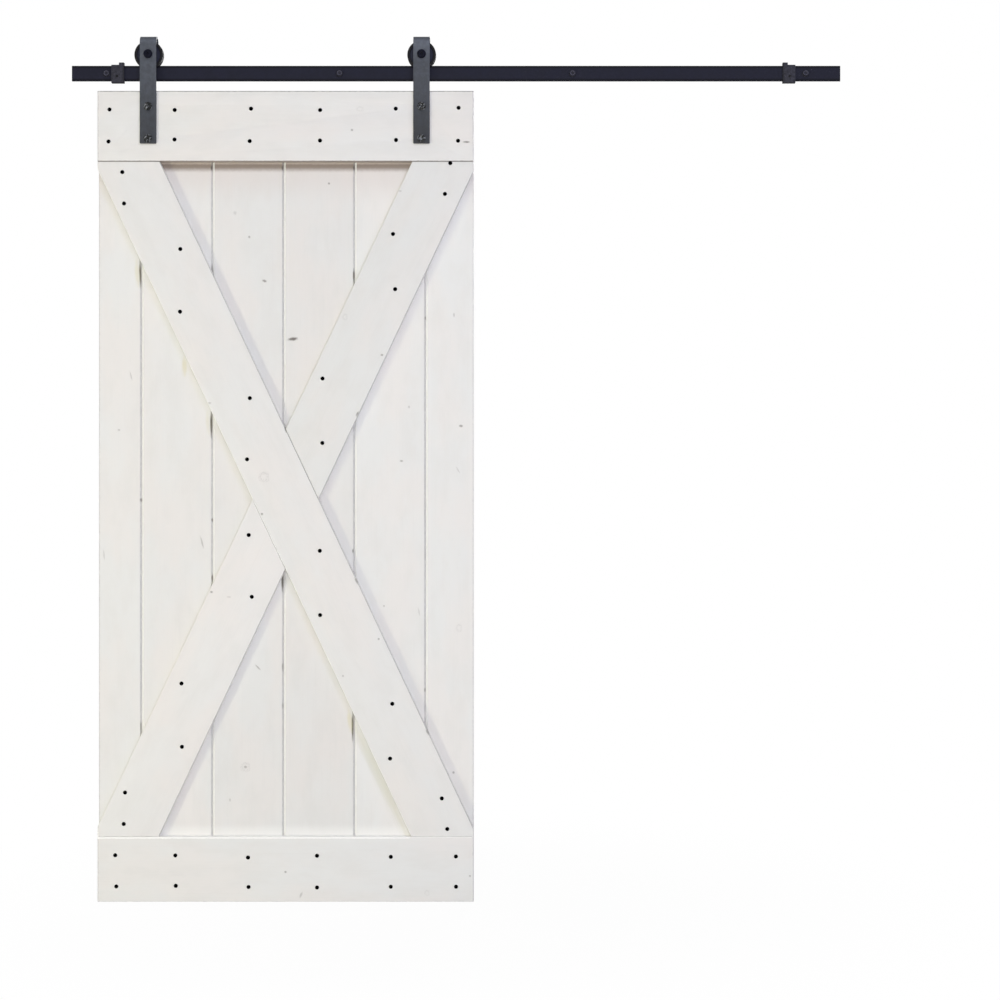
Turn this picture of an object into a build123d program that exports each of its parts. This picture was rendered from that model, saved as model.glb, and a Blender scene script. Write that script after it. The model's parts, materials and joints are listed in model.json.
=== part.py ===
from build123d import *
import os
from math import asin, atan2, cos, degrees, hypot, sqrt

# Sliding barn door that hangs from a flat wall rail on two strap hangers.
# Millimetres. +X runs along the rail, +Y goes into the wall and +Z is up.
# The origin is on the wall plane, in the middle of the rail's line of bolts.
# A depth is a distance out from the wall, so it lies at Y = -depth.

# Rail
rail_length = 2012.0
rail_height = 40.0
rail_thickness = 6.0
rail_edge_bevel = 0.8
rail_bolt_count = 4
rail_bolt_end_margin = 91.0
rail_hole_diameter = 9.0

# Flanged lag bolts and the wall spacers
wall_spacer_length = 30.0
wall_spacer_bore = 10.0
lag_shank_diameter = 7.0
lag_thread_diameter = 8.0
lag_thread_start = 0.4
lag_thread_end = 40.0
lag_head_across_flats = 13.0
lag_head_height = 5.3
lag_flange_thickness = 1.6

# End stops, clamped round the rail
stop_length = 33.0
stop_left_inset = 137.0
stop_right_inset = 151.0
stop_front_wall = 5.0
stop_back_wall = 2.5
stop_cap = 2.0
stop_foot = 5.5
stop_tab_length = 13.0
stop_tab_rise = 8.0
stop_slot_clearance = 0.15
stop_edge_bevel = 1.2
bumper_thickness = 3.0

# Wheels
wheel_diameter = 75.0
wheel_flange_height = 10.0
wheel_width = 20.0
wheel_groove_clearance = 1.0
wheel_rail_clearance = 0.3
wheel_dish_depth = 2.0
wheel_dish_diameter = 60.0
flange_pass_clearance = 0.8

# Sealed ball bearings in the wheels, with inner rings that reach both legs of the strap
bearing_outer_diameter = 32.0
bearing_bore = 12.0
bearing_width = 10.0
bearing_inner_land = 17.0
bearing_seat_clearance = 0.02
bearing_axle_clearance = 0.05
bearing_seal_clearance = 0.3

# Strap hangers
hanger_left_inset = 133.0
hanger_right_inset = 136.0
strap_width = 43.0
strap_thickness = 5.0
strap_side_gap = 4.0
strap_rim_clearance = 6.0
strap_on_door = 138.0
strap_back_drop = 18.0
strap_corner_bevel = 1.5

# Axle of each wheel
axle_head_diameter = 23.0
axle_head_height = 6.5
axle_head_bevel = 2.0
axle_socket = 8.0
axle_socket_depth = 4.0
axle_hole_clearance = 0.25
axle_nut_across_flats = 18.0
axle_nut_height = 6.5
axle_tail = 1.0
nut_thread_clearance = 0.1

# Flanged bolts and nuts that fix each hanger to the door
door_bolt_diameter = 10.0
door_bolt_pitch = 84.0
door_bolt_end_margin = 13.0
door_bolt_clearance = 0.3
door_bolt_across_flats = 16.0
door_bolt_head_height = 6.0
door_bolt_flange_diameter = 22.0
door_bolt_flange_thickness = 1.8
door_nut_height = 5.0
door_bolt_tail = 0.8

# Door leaf: planks behind, boards and braces in front
door_width = 983.0
door_height = 2119.0
door_gap_below_rail = 28.0
door_rest_inset = 69.0
plank_count = 6
first_plank_width = 112.5
last_plank_width = 125.5
plank_thickness = 17.0
plank_gap = 0.4
plank_bevel = 4.5
plank_back_bevel = 1.5
tongue_length = 7.0
tongue_thickness = 5.0
tongue_clearance = 0.3
board_thickness = 20.0
board_edge_bevel = 1.5
board_seam = 0.4
top_board_height = 184.0
bottom_board_height = 170.0
brace_width = 156.0
long_brace_corner_gap = 21.0
short_brace_corner_gap = 26.0

# Depths out from the wall
rail_back_depth = wall_spacer_length
rail_front_depth = rail_back_depth + rail_thickness
wheel_depth = rail_back_depth + rail_thickness / 2
strap_bend_inner = wheel_width / 2 + strap_side_gap
strap_bend_outer = strap_bend_inner + strap_thickness
strap_inner_depth = wheel_depth + strap_bend_inner
strap_front_depth = wheel_depth + strap_bend_outer
strap_gap_back_depth = wheel_depth - strap_bend_inner
strap_back_depth = wheel_depth - strap_bend_outer
plank_front_depth = strap_inner_depth - board_thickness
board_front_depth = strap_inner_depth
door_back_depth = plank_front_depth - plank_thickness

# Sizes and heights that follow from the wheel on the rail
wheel_tread_diameter = wheel_diameter - 2 * wheel_flange_height
wheel_groove_width = rail_thickness + 2 * wheel_groove_clearance
axle_diameter = bearing_bore
axle_z = rail_height / 2 + wheel_rail_clearance + wheel_tread_diameter / 2
flange_foot_z = axle_z - wheel_diameter / 2
lag_flange_diameter = 2 * (flange_foot_z - flange_pass_clearance)
wall_spacer_diameter = lag_flange_diameter
strap_bend_z = axle_z + wheel_diameter / 2 + strap_rim_clearance - strap_bend_inner
strap_back_z = axle_z - strap_back_drop

# Places of the leaf, its boards and its hangers
door_top_z = -rail_height / 2 - door_gap_below_rail
door_bottom_z = door_top_z - door_height
door_left_x = -rail_length / 2 + door_rest_inset
door_right_x = door_left_x + door_width
door_middle_x = (door_left_x + door_right_x) / 2
panel_top_z = door_top_z - top_board_height
panel_bottom_z = door_bottom_z + bottom_board_height
panel_height = panel_top_z - panel_bottom_z
panel_middle_z = (panel_top_z + panel_bottom_z) / 2
strap_foot_z = door_top_z - strap_on_door
hanger_x = {"left": door_left_x + hanger_left_inset, "right": door_right_x - hanger_right_inset}
door_bolt_z = [strap_foot_z + door_bolt_end_margin + i * door_bolt_pitch for i in range(2)]
door_bolt_places = [(x, z) for x in hanger_x.values() for z in door_bolt_z]
axle_places = [(x, axle_z) for x in hanger_x.values()]
rail_bolt_pitch = (rail_length - 2 * rail_bolt_end_margin) / (rail_bolt_count - 1)
rail_bolt_places = [
    ((i - (rail_bolt_count - 1) / 2) * rail_bolt_pitch, 0) for i in range(rail_bolt_count)
]
plank_pitch = (door_width - first_plank_width - last_plank_width) / (plank_count - 2)
plank_edges = [door_left_x]
plank_edges += [door_left_x + first_plank_width + i * plank_pitch for i in range(plank_count - 1)]
plank_edges += [door_right_x]
stop_face_x = {
    "left": -rail_length / 2 + stop_left_inset,
    "right": rail_length / 2 - stop_right_inset,
}
stop_outwards = {"left": -1, "right": 1}


def front(depth, x=0.0, z=0.0):
    """A plane that faces the viewer, this far out from the wall, with x along +X and y along +Z."""
    return Plane(origin=(x, -depth, z), x_dir=(1, 0, 0), z_dir=(0, -1, 0))


def turning(x):
    """The plane of a turned profile at an axle: x is a radius, and y goes from the wheel to the wall."""
    return Plane(origin=(x, -wheel_depth, axle_z), x_dir=(0, 0, 1), z_dir=(-1, 0, 0))


def axle_axis(x):
    """The line that a wheel turns about."""
    return Axis((x, 0, axle_z), (0, 1, 0))


def save(part, label):
    """Name a finished piece and write it to its own file."""
    part.label = label
    export_step(part, f"parts/{label}.step")


def rods(places, depth, radius, length, **options):
    """Round rods in the part being built, out from one depth, or in to the wall if the length is negative."""
    with BuildSketch(front(depth)) as circles:
        with Locations(*places):
            Circle(radius)
    extrude(circles.sketch, amount=length, **options)


def hexagons(places, depth, across_flats, height, **options):
    """Hexagonal prisms in the part being built, from one depth."""
    with BuildSketch(front(depth)) as polygons:
        with Locations(*places):
            RegularPolygon(across_flats / sqrt(3), 6)
    extrude(polygons.sketch, amount=height, **options)


# Rail, lag bolts and wall spacers


def make_rail():
    """The flat bar, with one hole for each lag bolt."""
    with BuildPart() as rail:
        with BuildSketch(front(rail_back_depth)):
            Rectangle(rail_length, rail_height)
        extrude(amount=rail_thickness)
        chamfer(rail.edges().filter_by(Axis.X), length=rail_edge_bevel)
        rods(rail_bolt_places, rail_back_depth, rail_hole_diameter / 2, rail_thickness, mode=Mode.SUBTRACT)
    save(rail.part, "rail")


def make_rings(label, places, depth, length, outer, bore):
    """Plain rings, from one depth out to the viewer."""
    with BuildPart() as rings:
        rods(places, depth, outer / 2, length)
        rods(places, depth, bore / 2, length, mode=Mode.SUBTRACT)
    save(rings.part, label)


def flanged_head(places, depth, flange_diameter, flange_thickness, across_flats, height):
    """A hexagon head or nut on its flange. It points back to the wall if the sizes are negative."""
    rods(places, depth, flange_diameter / 2, flange_thickness)
    hexagons(places, depth + flange_thickness, across_flats, height)


def make_lag_bolts():
    """Lag bolts: a plain shank in the rail and spacer, then the thread that stands out into the wall."""
    with BuildPart() as lag_bolts:
        flanged_head(
            rail_bolt_places,
            rail_front_depth,
            lag_flange_diameter,
            lag_flange_thickness,
            lag_head_across_flats,
            lag_head_height,
        )
        rods(rail_bolt_places, rail_front_depth, lag_shank_diameter / 2, -rail_front_depth - lag_thread_start)
        rods(
            rail_bolt_places,
            -lag_thread_start,
            lag_thread_diameter / 2,
            lag_thread_start - lag_thread_end,
        )
    save(lag_bolts.part, "lag_bolts")


# End stops


def rail_slot():
    """The clearance outline of the rail, cut from the sketch being drawn across it."""
    with Locations((-wheel_depth, 0)):
        Rectangle(
            rail_thickness + 2 * stop_slot_clearance,
            rail_height + 2 * stop_slot_clearance,
            mode=Mode.SUBTRACT,
        )


def make_stop(side):
    """The block round the rail, with a rubber-faced tab that rises above the rail to meet the wheel."""
    outwards = stop_outwards[side]
    face_x = stop_face_x[side]
    pad_x = face_x + outwards * bumper_thickness
    back = stop_back_wall - rail_back_depth
    depth = stop_back_wall + rail_thickness + stop_front_wall
    foot = -rail_height / 2 - stop_foot
    body_height = stop_foot + rail_height + stop_cap
    tab_height = stop_foot + rail_height + stop_tab_rise
    with BuildPart() as stop:
        for length, height in (
            (stop_length - bumper_thickness, body_height),
            (stop_tab_length - bumper_thickness, tab_height),
        ):
            with BuildSketch(Plane.YZ.offset(pad_x)) as outline:
                with Locations((back, foot)):
                    Rectangle(depth, height, align=(Align.MAX, Align.MIN))
                chamfer(outline.vertices(), length=stop_edge_bevel)
                rail_slot()
            extrude(amount=outwards * length)
    save(stop.part, f"stop_{side}")

    with BuildPart() as bumper:
        with BuildSketch(Plane.YZ.offset(face_x)) as outline:
            with Locations((back, foot)):
                Rectangle(depth, tab_height, align=(Align.MAX, Align.MIN))
            chamfer(outline.vertices(), length=stop_edge_bevel)
            rail_slot()
        extrude(amount=outwards * bumper_thickness)
    save(bumper.part, f"bumper_{side}")


# Wheels and their bearings


def make_wheel(side):
    """A grooved wheel that straddles the rail, dished on both faces, with a straight seat for its bearing."""
    half = wheel_width / 2
    hub_face = half - wheel_dish_depth
    seat = bearing_outer_diameter / 2 + bearing_seat_clearance
    rim = wheel_diameter / 2
    with BuildPart() as wheel:
        with BuildSketch(turning(hanger_x[side])):
            with BuildLine():
                Polyline(
                    (seat, 0),
                    (seat, hub_face),
                    (wheel_dish_diameter / 2, hub_face),
                    (wheel_dish_diameter / 2, half),
                    (rim, half),
                    (rim, wheel_groove_width / 2),
                    (wheel_tread_diameter / 2, wheel_groove_width / 2),
                    (wheel_tread_diameter / 2, 0),
                    close=True,
                )
            make_face()
            mirror(about=Plane.XZ)
        revolve(axis=axle_axis(hanger_x[side]))
    save(wheel.part, f"wheel_{side}")


def make_bearings():
    """Each sealed bearing's outer ring with its two seals, and the inner rings that the wheels turn on."""
    for side, x in hanger_x.items():
        make_rings(
            f"bearing_{side}",
            [(x, axle_z)],
            wheel_depth - bearing_width / 2,
            bearing_width,
            bearing_outer_diameter,
            bearing_inner_land + 2 * bearing_seal_clearance,
        )
    make_rings(
        "bearing_inner_rings",
        axle_places,
        strap_gap_back_depth,
        2 * strap_bend_inner,
        bearing_inner_land,
        axle_diameter + 2 * bearing_axle_clearance,
    )


# Strap hangers, axles and the bolts to the door


def make_strap(side):
    """A flat bar bent over the wheel: a long leg down the front of the door, a short one behind the wheel."""
    x = hanger_x[side]
    with BuildPart() as strap:
        with BuildSketch(Plane.YZ.offset(x - strap_width / 2)):
            with BuildLine():
                Line((-strap_front_depth, strap_foot_z), (-strap_front_depth, strap_bend_z))
                ThreePointArc(
                    (-strap_front_depth, strap_bend_z),
                    (-wheel_depth, strap_bend_z + strap_bend_outer),
                    (-strap_back_depth, strap_bend_z),
                )
                Line((-strap_back_depth, strap_bend_z), (-strap_back_depth, strap_back_z))
                Line((-strap_back_depth, strap_back_z), (-strap_gap_back_depth, strap_back_z))
                Line((-strap_gap_back_depth, strap_back_z), (-strap_gap_back_depth, strap_bend_z))
                ThreePointArc(
                    (-strap_gap_back_depth, strap_bend_z),
                    (-wheel_depth, strap_bend_z + strap_bend_inner),
                    (-strap_inner_depth, strap_bend_z),
                )
                Line((-strap_inner_depth, strap_bend_z), (-strap_inner_depth, strap_foot_z))
                Line((-strap_inner_depth, strap_foot_z), (-strap_front_depth, strap_foot_z))
            make_face()
        extrude(amount=strap_width)
        chamfer(strap.edges().filter_by(Axis.Y), length=strap_corner_bevel)
        rods(
            [(x, axle_z)],
            strap_front_depth,
            axle_diameter / 2 + axle_hole_clearance,
            -2 * strap_bend_outer,
            mode=Mode.SUBTRACT,
        )
        rods(
            [(x, z) for z in door_bolt_z],
            strap_front_depth,
            door_bolt_diameter / 2 + door_bolt_clearance,
            -strap_thickness,
            mode=Mode.SUBTRACT,
        )
    save(strap.part, f"strap_{side}")


def make_axles():
    """The round-headed bolts that the wheels hang on, with hexagon sockets, and their nuts."""
    nut_end_depth = strap_back_depth - axle_nut_height
    head_end_depth = strap_front_depth + axle_head_height
    with BuildPart() as axles:
        rods(axle_places, strap_front_depth, axle_head_diameter / 2, axle_head_height)
        chamfer(axles.faces().sort_by(Axis.Y)[: len(axle_places)].edges(), length=axle_head_bevel)
        hexagons(axle_places, head_end_depth, axle_socket, -axle_socket_depth, mode=Mode.SUBTRACT)
        rods(
            axle_places,
            strap_front_depth,
            axle_diameter / 2,
            nut_end_depth - axle_tail - strap_front_depth,
        )
    save(axles.part, "axle_bolts")

    with BuildPart() as nuts:
        hexagons(axle_places, strap_back_depth, axle_nut_across_flats, -axle_nut_height)
        rods(
            axle_places,
            strap_back_depth,
            axle_diameter / 2 + nut_thread_clearance,
            -axle_nut_height,
            mode=Mode.SUBTRACT,
        )
    save(nuts.part, "axle_nuts")


def make_door_bolts():
    """The bolts through straps and leaf, and the thin nuts behind the leaf."""
    nut_length = door_bolt_flange_thickness + door_nut_height
    tail_depth = door_back_depth - nut_length - door_bolt_tail
    with BuildPart() as bolts:
        flanged_head(
            door_bolt_places,
            strap_front_depth,
            door_bolt_flange_diameter,
            door_bolt_flange_thickness,
            door_bolt_across_flats,
            door_bolt_head_height,
        )
        rods(door_bolt_places, strap_front_depth, door_bolt_diameter / 2, tail_depth - strap_front_depth)
    save(bolts.part, "door_bolts")

    with BuildPart() as nuts:
        flanged_head(
            door_bolt_places,
            door_back_depth,
            door_bolt_flange_diameter,
            -door_bolt_flange_thickness,
            door_bolt_across_flats,
            -door_nut_height,
        )
        rods(
            door_bolt_places,
            door_back_depth,
            door_bolt_diameter / 2 + nut_thread_clearance,
            -nut_length,
            mode=Mode.SUBTRACT,
        )
    save(nuts.part, "door_nuts")


# Braces: how far they lean


def brace_lean(corner_gap):
    """A brace's angle from upright, if its edges meet the leaf's sides this far from the panel's corners."""
    rise = panel_height - 2 * corner_gap
    return atan2(door_width, rise) - asin(brace_width / hypot(door_width, rise))


long_lean = brace_lean(long_brace_corner_gap)
short_lean = brace_lean(short_brace_corner_gap)


def strip(lean, width, **options):
    """A strip across the middle of the panel, in the sketch being drawn, at a lean from upright."""
    with Locations((door_middle_x, panel_middle_z)):
        Rectangle(width, panel_height / cos(lean) + 2 * width, rotation=degrees(lean), **options)


def panel():
    """Keep only what lies in the panel, a seam away from the boards."""
    with Locations((door_middle_x, panel_middle_z)):
        Rectangle(door_width, panel_height - 2 * board_seam, mode=Mode.INTERSECT)


# Door leaf


def make_plank(k):
    """One upright plank: a groove on its left edge, a tongue on its right, but plain at the leaf's edges."""
    has_groove = k > 0
    has_tongue = k < plank_count - 1
    left = plank_edges[k] + (plank_gap / 2 if has_groove else 0)
    right = plank_edges[k + 1] - (plank_gap / 2 if has_tongue else 0)
    middle_x = (left + right) / 2
    middle_y = -(plank_front_depth + door_back_depth) / 2
    bolts = [p for p in door_bolt_places if left < p[0] < right]
    with BuildPart() as plank:
        with BuildSketch(Plane.XY.offset(door_bottom_z)) as section:
            with Locations((middle_x, middle_y)):
                Rectangle(right - left, plank_thickness)
            joints = [
                v for v in section.vertices() if (has_groove if v.X < middle_x else has_tongue)
            ]
            chamfer([v for v in joints if v.Y < middle_y], length=plank_bevel)
            chamfer([v for v in joints if v.Y > middle_y], length=plank_back_bevel)
            if has_tongue:
                with Locations((right, middle_y)):
                    Rectangle(2 * tongue_length, tongue_thickness)
            if has_groove:
                with Locations((left, middle_y)):
                    Rectangle(
                        2 * (tongue_length + tongue_clearance),
                        tongue_thickness + 2 * tongue_clearance,
                        mode=Mode.SUBTRACT,
                    )
        extrude(amount=door_height)
        if bolts:
            rods(
                bolts,
                plank_front_depth,
                door_bolt_diameter / 2 + door_bolt_clearance,
                -plank_thickness,
                mode=Mode.SUBTRACT,
            )
    save(plank.part, f"plank_{k + 1}")


def bevel_front(board):
    """Break the front edges of a board."""
    chamfer(board.faces().sort_by(Axis.Y)[0].edges(), length=board_edge_bevel)


def make_boards():
    """The two boards across the leaf, at its head and its foot."""
    with BuildPart() as top_board:
        with BuildSketch(front(plank_front_depth, door_middle_x, door_top_z - top_board_height / 2)):
            Rectangle(door_width, top_board_height)
        extrude(amount=board_thickness)
        bevel_front(top_board)
        rods(
            door_bolt_places,
            board_front_depth,
            door_bolt_diameter / 2 + door_bolt_clearance,
            -board_thickness,
            mode=Mode.SUBTRACT,
        )
    save(top_board.part, "top_board")

    with BuildPart() as bottom_board:
        with BuildSketch(front(plank_front_depth, door_middle_x, door_bottom_z + bottom_board_height / 2)):
            Rectangle(door_width, bottom_board_height)
        extrude(amount=board_thickness)
        bevel_front(bottom_board)
    save(bottom_board.part, "bottom_board")


def make_braces():
    """The long brace, and the two short ones that butt against it."""
    with BuildPart() as long_brace:
        with BuildSketch(front(plank_front_depth)):
            strip(long_lean, brace_width)
            panel()
        extrude(amount=board_thickness)
        bevel_front(long_brace)
    save(long_brace.part, "long_brace")

    with BuildSketch(front(plank_front_depth)) as short_pieces:
        strip(-short_lean, brace_width)
        panel()
        strip(long_lean, brace_width + 2 * board_seam, mode=Mode.SUBTRACT)
    faces = short_pieces.sketch.faces().sort_by(Axis.Z)
    for label, face in (("lower_brace", faces[0]), ("upper_brace", faces[-1])):
        with BuildPart() as short_brace:
            extrude(face, amount=board_thickness)
            bevel_front(short_brace)
        save(short_brace.part, label)


os.makedirs("parts", exist_ok=True)
make_rail()
make_lag_bolts()
make_rings(
    "wall_spacers",
    rail_bolt_places,
    0,
    wall_spacer_length,
    wall_spacer_diameter,
    wall_spacer_bore,
)
for side in hanger_x:
    make_stop(side)
    make_wheel(side)
    make_strap(side)
make_bearings()
make_axles()
make_door_bolts()
for k in range(plank_count):
    make_plank(k)
make_boards()
make_braces()
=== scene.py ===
"""Sliding barn door on its rail: finishes, fittings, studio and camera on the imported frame.

The frame is the CAD's: X runs along the rail, Y into the wall, Z up, and the middle of the rail is
the origin. A depth is a distance from the wall towards the room, so Y is minus the depth. Lengths
are in millimetres, as a maker gives them, and angles in degrees, where nothing else is said. MM
turns millimetres into metres.
"""

import json
import logging
import math
from collections.abc import Sequence
from dataclasses import dataclass, field
from enum import Enum
from functools import partial
from typing import ClassVar

import bmesh
import bpy
from bpy.types import ID, Material, Mesh, Node, NodeTree, Object
from bpy.types import NodeSocket as Socket
from mathutils import Matrix, Vector

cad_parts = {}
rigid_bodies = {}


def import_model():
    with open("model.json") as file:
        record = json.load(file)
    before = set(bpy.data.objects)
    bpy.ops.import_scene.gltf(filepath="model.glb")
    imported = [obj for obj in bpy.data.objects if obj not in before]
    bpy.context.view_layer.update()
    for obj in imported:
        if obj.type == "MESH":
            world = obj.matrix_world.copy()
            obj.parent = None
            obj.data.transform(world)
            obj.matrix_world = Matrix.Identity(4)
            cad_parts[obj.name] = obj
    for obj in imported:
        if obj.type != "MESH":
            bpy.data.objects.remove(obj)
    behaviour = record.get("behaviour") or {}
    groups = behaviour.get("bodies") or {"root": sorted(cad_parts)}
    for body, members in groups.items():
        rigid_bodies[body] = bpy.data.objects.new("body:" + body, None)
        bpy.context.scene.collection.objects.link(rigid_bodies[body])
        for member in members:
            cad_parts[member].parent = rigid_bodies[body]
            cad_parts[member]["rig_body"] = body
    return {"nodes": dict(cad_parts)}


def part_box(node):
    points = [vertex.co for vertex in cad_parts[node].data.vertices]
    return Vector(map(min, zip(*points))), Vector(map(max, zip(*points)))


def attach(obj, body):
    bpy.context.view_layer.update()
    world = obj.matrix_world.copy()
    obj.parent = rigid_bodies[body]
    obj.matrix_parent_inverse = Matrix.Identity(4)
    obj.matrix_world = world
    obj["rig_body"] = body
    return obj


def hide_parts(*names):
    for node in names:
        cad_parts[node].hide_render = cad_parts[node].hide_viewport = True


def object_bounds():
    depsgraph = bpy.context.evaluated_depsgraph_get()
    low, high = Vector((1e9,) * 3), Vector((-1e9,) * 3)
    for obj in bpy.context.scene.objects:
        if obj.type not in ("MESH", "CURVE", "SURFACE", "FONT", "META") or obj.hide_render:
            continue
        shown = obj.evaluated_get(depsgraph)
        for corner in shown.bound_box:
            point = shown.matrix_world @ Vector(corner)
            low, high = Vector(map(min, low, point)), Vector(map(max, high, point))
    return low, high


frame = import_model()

CAD_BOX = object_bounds()
SAME_POINT = 1e-6  # metres within which two points of a turned piece are one
FLAT = 0.1  # radians up to which an edge of a turned piece counts as flat
LOG = logging.getLogger("barn_door")
MM = 0.001

Colour = tuple[float, float, float, float]
Pixel = tuple[float, float]
Row = tuple[float, ...]
Setting = float | int | str | bool | Sequence[float] | Socket


def paint(red: float, green: float, blue: float) -> Colour:
    """Turn a display colour into the linear one that a shader takes.

    Args:
        red: Red from 0 to 255.
        green: Green from 0 to 255.
        blue: Blue from 0 to 255.

    Returns:
        Linear red, green and blue, and an alpha of 1.
    """
    shares = [value / 255 for value in (red, green, blue)]
    linear = [s / 12.92 if s <= 0.04045 else ((s + 0.055) / 1.055) ** 2.4 for s in shares]
    return (*linear, 1.0)


def shifted(colour: Colour, factor: float) -> Colour:
    """Return a colour made lighter or darker by a factor."""
    return (*(channel * factor for channel in colour[:3]), 1.0)


def placed(name: str, data: ID) -> Object:
    """Put a new object into the scene.

    Args:
        name: Its name.
        data: Its mesh, light or camera.

    Returns:
        The object.
    """
    thing = bpy.data.objects.new(name, data)
    bpy.context.scene.collection.objects.link(thing)
    return thing


def baked(name: str, bm: bmesh.types.BMesh) -> Mesh:
    """Turn a mesh under way into one that an object can have.

    Args:
        name: Name of the mesh.
        bm: The mesh under way, which ends with this.

    Returns:
        The mesh.
    """
    mesh = bpy.data.meshes.new(name)
    bm.to_mesh(mesh)
    bm.free()
    return mesh


@dataclass(frozen=True)
class Viewpoint:
    """Where the photograph was taken from, square to the leaf.

    Attributes:
        x: X of the lens, in metres.
        y: Y of the lens, in metres.
        z: Z of the lens, in metres.
        focal: Focal length, in pixels.
        side: Side of the square photograph, in pixels.
    """

    x: float = 0.115
    y: float = -5.047
    z: float = -1.117
    focal: float = 1913.6
    side: float = 1000.0

    def point(self, pixel: Pixel, depth: float) -> tuple[float, float]:
        """Find the point of an upright plane that lies behind a pixel.

        Args:
            pixel: Column and row in the photograph.
            depth: Depth of the plane.

        Returns:
            X and Z of the point.
        """
        scale = (-self.y / MM - depth) / self.focal
        right, down = ((place - self.side / 2) * scale for place in pixel)
        return self.x / MM + right, self.z / MM - down

    def build(self) -> None:
        """Place the camera."""
        lens = bpy.data.cameras.new("camera")
        lens.sensor_width = 36.0
        lens.lens = self.focal * lens.sensor_width / self.side
        lens.clip_end = 50
        camera = placed("camera", lens)
        camera.location = (self.x, self.y, self.z)
        camera.rotation_euler = (math.pi / 2, 0, 0)
        bpy.context.scene.camera = camera


CAMERA = Viewpoint()


class Slot(Enum):
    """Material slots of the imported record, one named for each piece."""

    FASTENERS = "black_fasteners"
    STOPS = "dark_stops"
    RUBBER = "black_rubber"
    WHEEL = "black_wheel"
    BEARING = "bearing_steel"
    STRAP = "grey_strap"
    WOOD = "white_painted_wood"


# Shaders


class Nodes:
    """A node tree that is built up by short calls.

    Attributes:
        tree: The tree.
    """

    def __init__(self, tree: NodeTree) -> None:
        """Take up a tree."""
        self.tree = tree

    def feed(self, socket: Socket, value: Setting) -> None:
        """Link an output to a socket, or set the socket's own value.

        Args:
            socket: Socket that is fed.
            value: An output socket, or a constant.
        """
        if isinstance(value, Socket):
            self.tree.links.new(value, socket)
        else:
            socket.default_value = value

    def node(self, kind: str, inputs: dict[str | int, Setting] | None = None,
             **settings: Setting) -> Node:
        """Add a node.

        Args:
            kind: Blender's name of the node type, without the ShaderNode in front.
            inputs: Values or links for its sockets, by name or number.
            **settings: Properties of the node itself.

        Returns:
            The node.
        """
        node = self.tree.nodes.new(f"ShaderNode{kind}")
        for key, value in settings.items():
            setattr(node, key, value)
        for key, value in (inputs or {}).items():
            self.feed(node.inputs[key], value)
        return node

    def maths(self, operation: str, first: Setting, second: Setting = 0.0) -> Socket:
        """Return the result of one operation of the Math node on two numbers."""
        return self.node("Math", {0: first, 1: second}, operation=operation).outputs[0]

    def show(self, output: str, share: Socket, first: Node, second: Node) -> None:
        """Show a blend of two shaders on an output, with a share of the second."""
        both = self.node("MixShader", {0: share, 1: first.outputs[0], 2: second.outputs[0]})
        self.feed(self.tree.nodes[output].inputs["Surface"], both.outputs[0])

    def seen(self) -> Socket:
        """Tell rays that are seen from those that only light.

        Returns:
            1 for a ray from the camera or through gloss or glass, and 0 for others.
        """
        path = self.node("LightPath").outputs
        total = path["Is Camera Ray"]
        for name in ("Is Glossy Ray", "Is Transmission Ray"):
            total = self.maths("MAXIMUM", total, path[name])
        return total


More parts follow.
